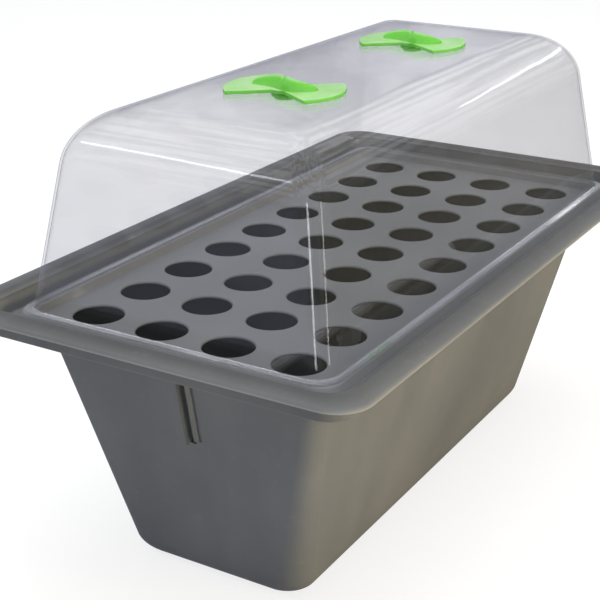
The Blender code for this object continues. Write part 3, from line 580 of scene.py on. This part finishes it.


# the tray's tone by height is painted light and shade: plate, bank and gutter painted lighter, ridge and
# flange darker
toneMargins = (0.014, 0.001)  # from the tray's foot and from its top to where its tone stops changing
traySheet = {
    "lowLevel": trayLow.z + toneMargins[0], "highLevel": trayHigh.z - toneMargins[1],
    "lowTone": 1.30, "highTone": 0.52,
    "dark": (0.094, 0.098, 0.101), "light": (0.114, 0.117, 0.118), "cloudScale": 8.0,
    "streakScale": 22.0, "streakStretch": (1.0, 0.2, 1.0), "streakDepth": 0.04,
    "dustScale": 140.0, "dustAmount": 0.12, "dustColour": (0.26, 0.26, 0.24),
    # edgeAmount and its colour paint a highlight on the outward bends
    "edgeAmount": 0.40, "bendHighlightColour": (0.24, 0.25, 0.24),
    "smearScale": 16.0, "roughnessLow": 0.36, "roughnessHigh": 0.48, "specular": 0.5,
    "rippleScale": 18.0, "rippleStrength": 0.14, "grainScale": 1600.0, "grainStrength": 0.18,
}


def runFractions(straight, lines, endSteps):
    # marks along one straight side, as shares of its half length, with a mark on every cell line
    stops = [-straight, *lines, straight]
    marks = []
    for index, (low, high) in enumerate(zip(stops, stops[1:])):
        steps = endSteps if index in (0, len(stops) - 2) else tray["cellSteps"]
        marks += [(low + (high - low) * step / steps) / straight for step in range(steps)]
    return marks + [1.0]


cellLinesX = [(column - tray["columns"] / 2) * tray["pitch"] for column in range(1, tray["columns"])]
cellLinesY = [(row - tray["rows"] / 2) * tray["pitch"] for row in range(1, tray["rows"])]
longMarks = runFractions(mouthY - planCorner(0), cellLinesY, tray["endStepsLong"])
shortMarks = runFractions(mouthX - planCorner(0), cellLinesX, tray["endStepsShort"])


def trayRing(out, height):
    radius, cornerSteps = planCorner(out), tray["cornerSteps"]
    halves = (mouthX + out, mouthY + out)
    ring = []
    for side in range(4):
        reach = halves[side % 2]
        straight = halves[1 - side % 2] - radius
        marks = longMarks if side % 2 == 0 else shortMarks
        points = [(reach, mark * straight) for mark in marks]
        for step in range(1, cornerSteps):
            angle = math.pi / 2 * step / cornerSteps
            points.append((reach - radius + radius * math.cos(angle), straight + radius * math.sin(angle)))
        for x, y in points:
            for quarter in range(side):
                x, y = -y, x
            ring.append(Vector((x, y, height)))
    return ring


def sagAt(x, y):
    return -tray["sag"] * (1 - (x / mouthX) ** 2) * (1 - (y / mouthY) ** 2)


def cellBoundary(column, row, edgeRing):
    # counterclockwise outline of one planting cell, following the plate's edge where it reaches it
    cellSteps = tray["cellSteps"]
    linesX = [-mouthX, *cellLinesX, mouthX]
    linesY = [-mouthY, *cellLinesY, mouthY]
    lowX, highX = linesX[column], linesX[column + 1]
    lowY, highY = linesY[row], linesY[row + 1]
    corners = [Vector((lowX, lowY)), Vector((highX, lowY)), Vector((highX, highY)), Vector((lowX, highY))]
    onEdge = [row == 0, column == tray["columns"] - 1, row == tray["rows"] - 1, column == 0]

    def edgeIndex(point):
        return min(range(len(edgeRing)), key=lambda i: (edgeRing[i].xy - point).length)

    start = next(side for side in range(4) if not (onEdge[side] and onEdge[side - 1]))
    boundary = []
    step = 0
    while step < 4:
        side = (start + step) % 4
        first = corners[side]
        step += 1
        if not onEdge[side]:
            second = corners[(side + 1) % 4]
            boundary += [first + (second - first) * part / cellSteps for part in range(cellSteps)]
            continue
        while step < 4 and onEdge[(start + step) % 4]:
            step += 1
        index = edgeIndex(first)
        last = edgeIndex(corners[(start + step) % 4])
        while index != last:
            boundary.append(edgeRing[index].xy)
            index = (index + 1) % len(edgeRing)
    return boundary


def addCell(shape, column, row, edgeRing):
    boundary = cellBoundary(column, row, edgeRing)
    centre = Vector((
        (column - (tray["columns"] - 1) / 2) * tray["pitch"],
        (row - (tray["rows"] - 1) / 2) * tray["pitch"],
    ))
    radius, edge, sheet, chamfer = tray["bore"] / 2, tray["boreEdge"], tray["sheet"], tray["boreChamfer"]
    profile = [(radius + edge, 0)]
    profile += [(radius + edge * (1 - math.sin(a)), edge * (math.cos(a) - 1)) for a in tray["boreAngles"]]
    profile += [(radius, -sheet * (1 - chamfer)), (radius + sheet * chamfer, -sheet)]
    startAngle = math.atan2(boundary[0].y - centre.y, boundary[0].x - centre.x)
    count = len(boundary)
    rings = [[Vector((p.x, p.y, plateHeight + sagAt(p.x, p.y))) for p in boundary]]
    for reach, height in profile:
        ring = []
        for index in range(count):
            angle = startAngle + 2 * math.pi * index / count
            x = centre.x + reach * math.cos(angle)
            y = centre.y + reach * math.sin(angle)
            ring.append(Vector((x, y, plateHeight + height + sagAt(x, y))))
        rings.append(ring)
    rings.append([point - Vector((0, 0, sheet)) for point in rings[0]])
    skin(shape, rings)


def makeTray():
    bends = ("bankFoot", "bankInner", "bankOuter", "gutterInner", "gutterOuter", "lip", "ridge", "flange")
    upper = softLine([(0, 0, 0), *[tray[bend] for bend in bends], tray["skirt"]])
    under = offsetLine(upper, tray["sheet"])
    shape = bmesh.new()
    skin(shape, [trayRing(point.x, plateHeight + point.y) for point in upper + under[::-1]])
    edgeRing = trayRing(0, plateHeight)
    for row in range(tray["rows"]):
        for column in range(tray["columns"]):
            addCell(shape, column, row, edgeRing)
    item = addObject("plantTray", finishMesh("plantTray", shape, weld=1e-5))
    evenShading(item, sharpAngle=50)
    finishPiece(item, "tray", "tray_plastic", formedSheet("traySheet", traySheet), "plant_tray")


makeTray()


dome = {
    "sheet": 0.0014,
    "baseOut": 0.0070,
    "footWidth": 0.0050,
    "footBend": 0.0012,
    "draft": 0.161,           # how far the wall leans in for each metre up
    "shoulder": 0.048,
    "shoulderSteps": 20,
    "footSteps": 5,
    "baseCorner": 0.017,
    "roofCorner": 0.019,
    "cornerSteps": 16,
    "cornerDraw": 0.25,       # how fast the plan corner tightens over the shoulder
    "footGrowth": 0.4,        # and how fast it opens over the foot
    "roofEdge": 0.008,
    "slotInner": 0.0150,
    "slotOuter": 0.0430,
    "slotSweep": 74,          # degrees
    "slotSteps": 24,
    "restTurn": 3,            # degrees, the same as the vents
    "pinHole": 0.0034,
}

domeSheet = {
    "tint": (0.934, 0.934, 0.944),
    "mirrorColour": (0.94, 0.95, 0.97), "mirrorMetal": 0.94,
    "mirrorFront": 0.045, "mirrorGlancing": 0.85,
    "roughnessLow": 0.05, "roughnessHigh": 0.12,
    "rippleScale": 10.0, "rippleStretch": (1.0, 0.7, 1.1), "rippleStrength": 0.10,
    "drawScale": 45.0, "drawStrength": 0.03,
    "filmScale": 9.0, "filmAmount": 0.02,
    "footLow": domeLow.z + 0.0008, "footHigh": domeLow.z + 0.0016, "footShare": 0.28,
}


def domeLine(baseHeight, roofHeight):
    lean = math.atan(dome["draft"])
    radius = dome["shoulder"]
    startHeight = roofHeight - radius + radius * math.sin(lean)
    wallOut = dome["baseOut"] - dome["draft"] * (startHeight - baseHeight)
    centre = (wallOut - radius * math.cos(lean), roofHeight - radius)
    arc = arcPoints(centre, radius, lean, math.pi / 2, dome["shoulderSteps"])
    footEdge = (dome["baseOut"] + dome["footWidth"], baseHeight, 0)
    footBend = (dome["baseOut"], baseHeight, dome["footBend"])
    line = softLine([footEdge, footBend, (*arc[0], 0)], dome["footSteps"])[:-1]
    return line + arc + [Vector((centre[0] - dome["roofEdge"], roofHeight))]


def domeRings(line, roofHeight):
    wallTop = dome["baseOut"] - dome["draft"] * (roofHeight - plateHeight - dome["shoulder"])
    rings = []
    for point in line:
        share = (point.y - plateHeight) / (roofHeight - plateHeight)
        radius = dome["baseCorner"] + (dome["roofCorner"] - dome["baseCorner"]) * share
        radius -= max(0.0, wallTop - point.x) * dome["cornerDraw"]
        radius += max(0.0, point.x - dome["baseOut"]) * dome["footGrowth"]
        rings.append(roundedRing(mouthX + point.x, mouthY + point.x, radius, point.y, dome["cornerSteps"]))
    return rings


def sectorOutline(inner, outer, middle, sweep, steps):
    start, end = middle - sweep / 2, middle + sweep / 2
    return arcPoints((0, 0), outer, start, end, steps) + arcPoints((0, 0), inner, end, start, steps // 2)


def makeDome():
    baseHeight = domeLow.z + dome["sheet"]
    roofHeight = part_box("humidity_dome")[1].z
    outer = domeLine(baseHeight, roofHeight)
    inner = offsetLine(outer, -dome["sheet"])
    item = addObject("clearDome", loftMesh("clearDome", domeRings(outer[::-1] + inner, roofHeight)))
    sweep = math.radians(dome["slotSweep"])
    # the cutting prisms pass well through the roof on both sides
    low, high = roofHeight - 3 * dome["sheet"], roofHeight + 2 * dome["sheet"]
    shape = bmesh.new()
    for pin in ("vent_pin_front", "vent_pin_rear"):
        pinLow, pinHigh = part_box(pin)
        centre = (pinLow + pinHigh) / 2
        outlines = []
        for half in (0, 180):
            middle = math.radians(dome["restTurn"] + half)
            slot = sectorOutline(dome["slotInner"], dome["slotOuter"], middle, sweep, dome["slotSteps"])
            outlines.append(slot)
        outlines.append([point.xy for point in circleRing(dome["pinHole"], 0, dome["slotSteps"])])
        for outline in outlines:
            rings = [[Vector((centre.x + p.x, centre.y + p.y, z)) for p in outline] for z in (low, high)]
            rows = skin(shape, rings)
            shape.faces.new(rows[0])
            shape.faces.new(rows[-1])
    applyBoolean(item, addObject("ventOpenings", finishMesh("ventOpenings", shape)), "DIFFERENCE")
    evenShading(item, sharpAngle=30)
    finishPiece(item, "dome", "dome_clear", clearSheet("domeSheet", domeSheet), "humidity_dome")


makeDome()


vent = {
    "radius": 0.048,
    "sweep": 90,              # degrees across one blade
    "bladeSteps": 24,
    "restTurn": 3,            # degrees
    "thickness": 0.0030,
    "hubRadius": 0.0135,
    "hubSteps": 6,
    "cornerRound": 0.0022,
    "edgeRound": 0.0007,
    "edgeMiddle": 0.3,        # share of the rounding at the middle of a rounded edge
    "gripLength": 0.058,
    "gripWidth": 0.020,
    "gripRise": 0.0085,
    "gripTwist": 0.0045,      # how far its halves swing to opposite sides
    "gripBlunt": 0.97,        # share of half its length where its ends are cut
    "gripCrown": 1.5,         # 2 is a round back, 1 a sharp ridge
    "gripStations": 40,
    "gripSteps": 28,
    "creaseDepth": 0.0012,
    "creaseHalf": 0.0013,
    "boreRadius": 0.0034,
    "boreDepth": 0.0043,
    "boreSteps": 24,
    "seat": 0.0003,           # left open between the roof and the blades
}

ventPlastic = {
    "deep": (0.15, 0.52, 0.05), "bright": (0.44, 0.76, 0.28), "pale": (0.66, 0.87, 0.54),
    "glowPale": (0.58, 0.88, 0.44), "glowDeep": (0.14, 0.58, 0.06), "glowShare": 0.35,
    "throughColour": (0.74, 0.93, 0.66), "throughShare": 0.30,
    "flatFrom": 0.995, "slopeFrom": 0.80, "flowScale": 45.0, "flowStrength": 0.10,
    "markScale": 400.0, "markStrength": 0.06, "roughnessLow": 0.14, "roughnessHigh": 0.26,
    "coat": 0.5, "coatRoughness": 0.06,
}


def roundOutline(points, radius, steps=5, mostOfSide=0.45, sharpTurn=25):
    # soften every corner of a closed flat outline that turns by more than sharpTurn degrees
    soft = []
    count = len(points)
    for index, point in enumerate(points):
        back = points[index - 1] - point
        ahead = points[(index + 1) % count] - point
        if math.pi - back.angle(ahead) < math.radians(sharpTurn):
            soft.append(point)
        else:
            soft += bendPoints(back, point, ahead, radius, mostOfSide, steps)
    return soft


def ventOutline():
    half = math.radians(vent["sweep"]) / 2
    gap = math.pi / 2 - half
    points = []
    for middle in (0, math.pi):
        points += arcPoints((0, 0), vent["radius"], middle - half, middle + half, vent["bladeSteps"])
        waist = middle + math.pi / 2
        points += arcPoints((0, 0), vent["hubRadius"], waist - gap / 2, waist + gap / 2, vent["hubSteps"])
    return roundOutline(points, vent["cornerRound"])


def ventBlades():
    # flat blades with soft top and bottom edges, skinned between insets of one outline
    outline = ventOutline()
    edge, thick = vent["edgeRound"], vent["thickness"]
    soft = edge * vent["edgeMiddle"]
    count = len(outline)
    inward = []
    for index in range(count):
        run = outline[(index + 1) % count] - outline[index - 1]
        inward.append(Vector((-run.y, run.x)).normalized())
    rings = []
    for inset, height in (
        (edge, 0), (soft, soft), (0, edge), (0, thick - edge), (soft, thick - soft), (edge, thick),
    ):
        rings.append([Vector((*(p + n * inset), height)) for p, n in zip(outline, inward)])
    return loftMesh("ventBlades", rings)


def ventGrip():
    # a crowned bar with a soft ridge, whose halves swing to opposite sides of a creased middle
    stations, steps = vent["gripStations"], vent["gripSteps"]
    rings = []
    for station in range(stations + 1):
        along = vent["gripBlunt"] * (2 * station / stations - 1)
        fullness = math.sqrt(1 - along * along)
        shift = -vent["gripTwist"] * math.sin(along * math.pi)
        x = along * vent["gripLength"] / 2
        crease = vent["creaseDepth"] * max(0.0, 1 - abs(x) / vent["creaseHalf"])
        ring = []
        for step in range(steps):
            angle = 2 * math.pi * step / steps
            side = math.cos(angle)
            across = shift + vent["gripWidth"] / 2 * fullness * side
            if math.sin(angle) >= 0:
                up = (vent["gripRise"] - crease) * fullness * (1 - abs(side) ** vent["gripCrown"])
            else:
                up = -vent["thickness"] / 2 * min(1.0, -2 * math.sin(angle)) * fullness
            ring.append(Vector((x, across, vent["thickness"] + up)))
        rings.append(ring)
    return loftMesh("ventGrip", rings)


def makeVent(place, material):
    pinLow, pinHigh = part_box("vent_pin_" + place)
    centre = (pinLow + pinHigh) / 2
    roof = domeHigh.z + vent["seat"]
    item = addObject("ventCap" + place.capitalize(), ventBlades())
    applyBoolean(item, addObject("ventGripTool", ventGrip()), "UNION")
    boreEnds = (-vent["thickness"], vent["boreDepth"])
    boreRings = [circleRing(vent["boreRadius"], height, vent["boreSteps"]) for height in boreEnds]
    applyBoolean(item, addObject("ventBoreTool", loftMesh("ventBore", boreRings)), "DIFFERENCE")
    turn = Matrix.Rotation(math.radians(vent["restTurn"]), 4, "Z")
    item.data.transform(Matrix.Translation((centre.x, centre.y, roof)) @ turn)
    evenShading(item, sharpAngle=35)
    finishPiece(item, "vent_" + place, "vent_green", material, "vent_cap_" + place)


ventMaterial = tintedPlastic("ventPlastic", ventPlastic)
for ventPlace in ("front", "rear"):
    makeVent(ventPlace, ventMaterial)


# looks for the pieces inside, which keep the frame's own shapes
insideLooks = {
    "pump_black": {
        "dark": (0.016, 0.017, 0.018), "light": (0.028, 0.029, 0.031), "edge": (0.09, 0.09, 0.09),
        "edgeAmount": 0.5, "speckleScale": 220.0, "smearScale": 60.0, "roughnessLow": 0.38,
        "roughnessHigh": 0.58, "textureScale": 1800.0, "textureStrength": 0.35,
    },
    "grille_grey": {
        "dark": (0.045, 0.047, 0.050), "light": (0.068, 0.070, 0.074), "edge": (0.15, 0.15, 0.15),
        "edgeAmount": 0.4, "speckleScale": 240.0, "smearScale": 70.0, "roughnessLow": 0.42,
        "roughnessHigh": 0.60, "textureScale": 1800.0, "textureStrength": 0.30,
    },
    "soft_rubber": {
        "dark": (0.020, 0.020, 0.021), "light": (0.034, 0.034, 0.035), "edge": (0.07, 0.07, 0.07),
        "edgeAmount": 0.3, "speckleScale": 300.0, "smearScale": 80.0, "roughnessLow": 0.66,
        "roughnessHigh": 0.84, "textureScale": 2600.0, "textureStrength": 0.25,
    },
    "rotor_ferrite": {
        "dark": (0.034, 0.032, 0.031), "light": (0.060, 0.057, 0.055), "edge": (0.12, 0.11, 0.11),
        "edgeAmount": 0.4, "speckleScale": 700.0, "smearScale": 90.0, "roughnessLow": 0.50,
        "roughnessHigh": 0.72, "textureScale": 1500.0, "textureStrength": 0.45,
    },
    "shaft_ceramic": {
        "dark": (0.76, 0.75, 0.72), "light": (0.84, 0.83, 0.80), "edge": (0.88, 0.87, 0.85),
        "edgeAmount": 0.2, "speckleScale": 500.0, "smearScale": 120.0, "roughnessLow": 0.14,
        "roughnessHigh": 0.24, "textureScale": 2500.0, "textureStrength": 0.08,
    },
    "pipe_white": {
        "dark": (0.22, 0.23, 0.22), "light": (0.28, 0.29, 0.28), "edge": (0.40, 0.40, 0.39),
        "edgeAmount": 0.3, "speckleScale": 70.0, "smearScale": 50.0, "roughnessLow": 0.28,
        "roughnessHigh": 0.42, "textureScale": 900.0, "textureStrength": 0.10,
    },
    "nozzle_black": {
        "dark": (0.018, 0.018, 0.019), "light": (0.030, 0.030, 0.032), "edge": (0.08, 0.08, 0.08),
        "edgeAmount": 0.4, "speckleScale": 260.0, "smearScale": 90.0, "roughnessLow": 0.32,
        "roughnessHigh": 0.46, "textureScale": 2000.0, "textureStrength": 0.20,
    },
}

insideMaterials = {slotName: mouldedFinish(slotName, look) for slotName, look in insideLooks.items()}
insideMaterials["vent_green"] = ventMaterial
for subpart in frame["record"]["subparts"]:
    node = frame["nodes"][subpart["node"]]
    if not node.hide_render:
        node.data.materials.clear()
        node.data.materials.append(insideMaterials[subpart["material_slot"]])
print("finished the pieces inside")


studio = {
    "floorSize": 14.0,
    "floorColour": (0.93, 0.93, 0.93),
    "backdrop": 1.0,
    "shadowDepth": 0.22,      # how much of the floor's look comes from the light that falls on it
    "ambient": (0.66, 0.68, 0.72),
    "mirrorSky": (1.25, 1.25, 1.27),
    "mirrorShade": (0.20, 0.205, 0.22),         # darker shapes that drift through the reflections
    "mirrorWarm": (0.11, 0.104, 0.088),         # ground on the right
    "mirrorCool": (0.27, 0.28, 0.36),           # ground on the left
    "groundToSky": (-0.15, 0.7),                # heights of the direction between which they blend
    "coolToWarm": (-0.4, 0.5),
    "shapeScale": 11.0,
    "shapeStretch": (1.0, 1.0, 1.6),
    "shapeSpan": (0.44, 0.58),
    "paperScale": 4.0,
    "paperDip": 0.985,        # how dark the paper's clouds go
    "paperRoughness": 0.95,
    "paperSpecular": 0.1,
    "lampAim": (0.0, 0.0, 0.25),
}

# mirrored lamps show up in glossy surfaces, the others only light them
lamps = {
    "overhead": {
        "place": (0.0, 0.2, 2.4), "size": (2.2, 2.2), "power": 62, "colour": (1.0, 0.99, 0.97),
    },
    "frontLeft": {
        "place": (-1.35, -1.30, 1.75), "size": (0.9, 0.5), "power": 12, "colour": (0.86, 0.92, 1.0),
    },
    "warmSide": {
        "place": (2.3, 0.0, 0.25), "size": (1.4, 0.9), "power": 100, "colour": (1.0, 0.80, 0.45),
    },
    "endGlint": {
        "place": (-1.35, -1.55, 1.75), "size": (0.75, 0.10), "power": 1.3, "colour": (0.92, 0.95, 1.0),
        "mirrored": True,
    },
    "shoulderGlint": {
        "place": (0.6, 2.6, 1.25), "size": (0.9, 0.06), "power": 0.7, "colour": (1.0, 0.98, 0.94),
        "mirrored": True,
    },
    "cornerGlint": {
        "place": (0.89, -1.63, 0.30), "size": (0.20, 1.4), "power": 4.0, "colour": (0.95, 0.97, 1.0),
        "mirrored": True,
    },
    "warmGlint": {
        "place": (1.58, -0.245, 0.25), "size": (0.10, 1.2), "power": 1.7, "colour": (1.0, 0.93, 0.78),
        "mirrored": True,
    },
}

view = {
    "place": (0.53423, -0.98960, 0.61009),
    "aim": (-0.0339, -0.0297, 0.1676),
    "lens": 80.84,            # millimetres, as is the sensor
    "sensor": 36,
    "roll": 0.173,            # degrees
    "nearest": 0.02,
}


def pointAt(item, target):
    item.rotation_euler = (Vector(target) - item.location).to_track_quat("-Z", "Y").to_euler()


def makeFloor():
    shape = bmesh.new()
    bmesh.ops.create_grid(shape, x_segments=8, y_segments=8, size=studio["floorSize"] / 2)
    item = addObject("studioFloor", finishMesh("studioFloor", shape))
    material, tree, shader = startMaterial("studioFloor")
    paper = noiseNode(tree, objectCoordinate(tree), studio["paperScale"])
    pale = studio["floorColour"]
    softer = tuple(channel * studio["paperDip"] for channel in pale)
    paperColour = mixColour(tree, paper, softer, pale)
    seen = tree.nodes.new("ShaderNodeLightPath").outputs["Is Camera Ray"]
    dimmed = tuple(channel * studio["shadowDepth"] for channel in pale)
    tree.links.new(mixColour(tree, seen, paperColour, dimmed), shader.inputs["Base Color"])
    glow = mathNode(tree, "MULTIPLY", seen, 1 - studio["shadowDepth"])
    shader.inputs["Emission Color"].default_value = (1.0, 1.0, 1.0, 1.0)
    tree.links.new(glow, shader.inputs["Emission Strength"])
    shader.inputs["Roughness"].default_value = studio["paperRoughness"]
    shader.inputs["Specular IOR Level"].default_value = studio["paperSpecular"]
    item.data.materials.append(material)
    item.visible_glossy = False


def makeWorld():
    world = bpy.data.worlds.new("studioWorld")
    bpy.context.scene.world = world
    world.use_nodes = True
    tree = world.node_tree
    background = tree.nodes["Background"]
    ray = tree.nodes.new("ShaderNodeLightPath")
    direction = tree.nodes.new("ShaderNodeTexCoord").outputs["Generated"]
    axes = axisParts(tree, direction)
    rise = rangeNode(tree, axes["Z"], *studio["groundToSky"], 0.0, 1.0)
    shapes = noiseNode(tree, direction, studio["shapeScale"], detail=2.0, stretch=studio["shapeStretch"])
    shapeShare = rangeNode(tree, shapes, *studio["shapeSpan"], 0.0, 1.0)
    sky = mixColour(tree, shapeShare, studio["mirrorShade"], studio["mirrorSky"])
    side = rangeNode(tree, axes["X"], *studio["coolToWarm"], 0.0, 1.0)
    ground = mixColour(tree, side, studio["mirrorCool"], studio["mirrorWarm"])
    mirror = mixColour(tree, rise, ground, sky)
    colour = mixColour(tree, ray.outputs["Is Glossy Ray"], studio["ambient"], mirror)
    white = (studio["backdrop"],) * 3
    colour = mixColour(tree, ray.outputs["Is Camera Ray"], colour, white)
    tree.links.new(colour, background.inputs["Color"])


def makeLamps():
    # the glint lamps touch the clear dome and the vents alone
    shiny = bpy.data.collections.new("glintPieces")
    for name in ("clearDome", "ventCapFront", "ventCapRear"):
        shiny.objects.link(bpy.data.objects[name])
    for name, lamp in lamps.items():
        light = bpy.data.lights.new(name, "AREA")
        light.shape = "RECTANGLE"
        light.size, light.size_y = lamp["size"]
        light.energy = lamp["power"]
        light.color = lamp["colour"]
        item = bpy.data.objects.new(name, light)
        bpy.context.scene.collection.objects.link(item)
        item.location = lamp["place"]
        item.visible_glossy = lamp.get("mirrored", False)
        if item.visible_glossy:
            item.light_linking.receiver_collection = shiny
        pointAt(item, studio["lampAim"])


def makeCamera():
    lensData = bpy.data.cameras.new("studioCamera")
    lensData.lens = view["lens"]
    lensData.sensor_width = view["sensor"]
    lensData.clip_start = view["nearest"]
    item = bpy.data.objects.new("studioCamera", lensData)
    bpy.context.scene.collection.objects.link(item)
    item.location = view["place"]
    toward = (Vector(view["aim"]) - item.location).to_track_quat("-Z", "Y").to_matrix()
    roll = Matrix.Rotation(math.radians(view["roll"]), 3, "Z")
    item.rotation_euler = (toward @ roll).to_euler()
    bpy.context.scene.camera = item


makeFloor()
makeWorld()
makeLamps()
makeCamera()
bpy.context.scene.view_settings.view_transform = "Standard"
print("studio ready")
